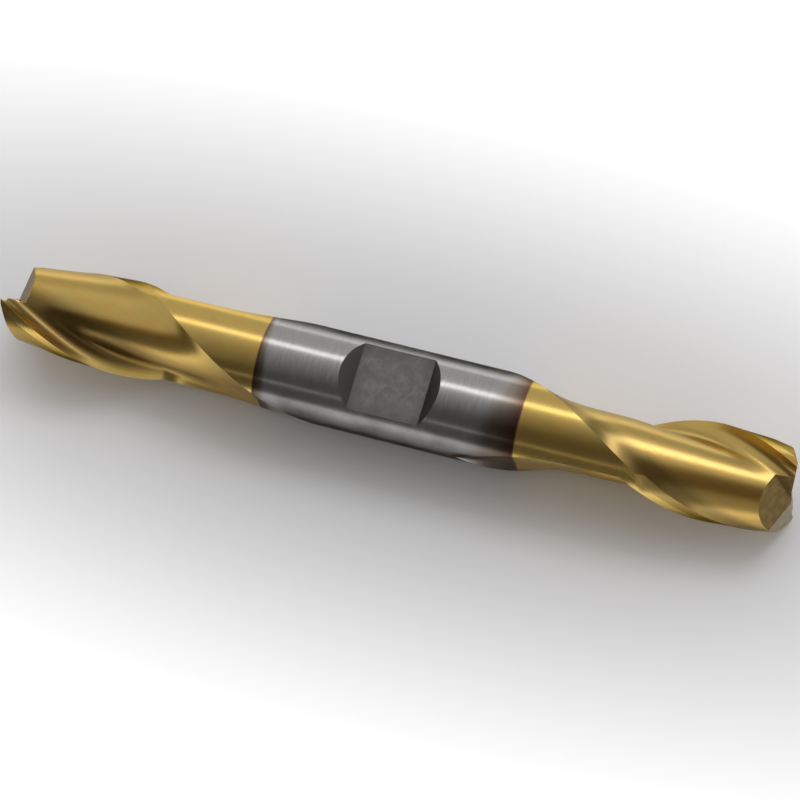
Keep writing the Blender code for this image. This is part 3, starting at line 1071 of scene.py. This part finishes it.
def glowing(material, stops):
    """A black surface whose light at ALPHA, the angle from +Z towards -Y, follows the stops."""
    graph = Graph(material)
    place = graph.node("TexCoord", {}, {}, output="Object")
    y, z = graph.part(place, "Y"), graph.part(place, "Z")
    alpha = y.math("ARCTAN2", y * -1.0, z) * math.degrees(1.0)
    first, last = stops[0][0], stops[-1][0]
    shades = [((angle - first) / (last - first), shade) for angle, shade in stops]
    light = graph.node("ValToRGB", {"stops": shades}, {0: (alpha - first) * (1 / (last - first))})
    graph.feed(graph.shader.inputs["Base Color"], BLACK)
    graph.feed(graph.shader.inputs["Specular IOR Level"], 0.0)
    graph.feed(graph.shader.inputs["Emission Color"], light)
    graph.feed(graph.shader.inputs["Emission Strength"], 1.0)


def panel(name, ends, stops):
    """An arc about the tool's axis between two places along X. Each stop is an ALPHA in degrees
    and the light that the panel gives off there."""
    turned = np.radians(np.linspace(stops[0][0], stops[-1][0], PANEL_POINTS))
    arc = np.column_stack([np.zeros(PANEL_POINTS), -PANEL_DISTANCE * np.sin(turned),
                           PANEL_DISTANCE * np.cos(turned)])
    points = np.vstack([arc + [ends[0], 0, 0], arc + [ends[1], 0, 0]])
    faces = [(k, k + 1, k + PANEL_POINTS + 1, k + PANEL_POINTS) for k in range(PANEL_POINTS - 1)]
    mesh = bpy.data.meshes.new(name)
    mesh.from_pydata(points, [], faces)
    mesh.materials.append(bpy.data.materials.new(name))
    glowing(mesh.materials[0], stops)
    obj = link(name, mesh)
    obj.visible_camera = False


for name, (ends, stops) in PANELS.items():
    panel(name, ends, stops)
print("panels:", len(PANELS))

# %% [markdown]
# ## The lamps and the room
#
# A long soft lamp behind the tool gives the bright line along the shank, and a wider one the broad
# line in the right flute. A pale room lights the rest. A third, wide lamp lights the floor from
# behind the tool. It is kept out of reflections, so the metal mirrors the panels and the room.

# %% Lamps and room
ROOM_LEVEL = 0.55
LAMP_DISTANCE = 0.60
LAMP_ALPHA = -37.0
LAMP_WIDTH = 0.11
LAMP_X = (-0.22, -0.02)
LAMP_RADIANCE = 1.6
RIGHT_LAMP_X = (-0.02, 0.30)
RIGHT_LAMP_WIDTH = 0.18
RIGHT_LAMP_RADIANCE = 2.5
RIGHT_LAMP_COLOUR = (1.0, 0.99, 1.12)
FLOOR_LAMP_SIZE = 0.9
FLOOR_LAMP_DISTANCE = 0.65
FLOOR_LAMP_ALPHA = -52.0
FLOOR_LAMP_RADIANCE = 0.60


def soft_lamp(name, alpha, distance, ends, width, radiance):
    """A rectangular lamp at ALPHA, between two places along X, that faces the tool's axis. Its
    power is the light that it is to show, times pi, times its area."""
    data = bpy.data.lights.new(name, "AREA")
    data.shape = "RECTANGLE"
    data.size, data.size_y = ends[1] - ends[0], width
    data.energy = radiance * math.pi * data.size * data.size_y
    lamp = link(name, data)
    along = Vector((1.0, 0.0, 0.0))
    direction = Vector((0.0, -math.sin(math.radians(alpha)), math.cos(math.radians(alpha))))
    turn = Matrix((along, direction.cross(along), direction)).transposed().to_4x4()
    lamp.matrix_world = Matrix.Translation(direction * distance + along * sum(ends) / 2) @ turn
    return lamp


world = bpy.data.worlds.new("pale_room")
bpy.context.scene.world = world
world.use_nodes = True
world.node_tree.nodes["Background"].inputs["Color"].default_value = (*grey(ROOM_LEVEL), 1.0)

soft_lamp("long_lamp", LAMP_ALPHA, LAMP_DISTANCE, LAMP_X, LAMP_WIDTH, LAMP_RADIANCE)
right_lamp = soft_lamp("right_lamp", LAMP_ALPHA, LAMP_DISTANCE, RIGHT_LAMP_X, RIGHT_LAMP_WIDTH,
                       RIGHT_LAMP_RADIANCE)
right_lamp.data.color = RIGHT_LAMP_COLOUR
floor_lamp = soft_lamp("floor_lamp", FLOOR_LAMP_ALPHA, FLOOR_LAMP_DISTANCE,
                       (-FLOOR_LAMP_SIZE / 2, FLOOR_LAMP_SIZE / 2), FLOOR_LAMP_SIZE,
                       FLOOR_LAMP_RADIANCE)
floor_lamp.visible_glossy = False
print("room level:", ROOM_LEVEL)

# %% [markdown]
# ## Handing over
#
# The finished surface moves with the tool's one body and stands for the plain solid, which stays behind for
# collisions. The surface has to stay inside the solid's box.

# %% Hand over to the frame
bpy.context.scene.view_settings.view_transform = "Standard"
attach(mill, "root")
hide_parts("end_mill")
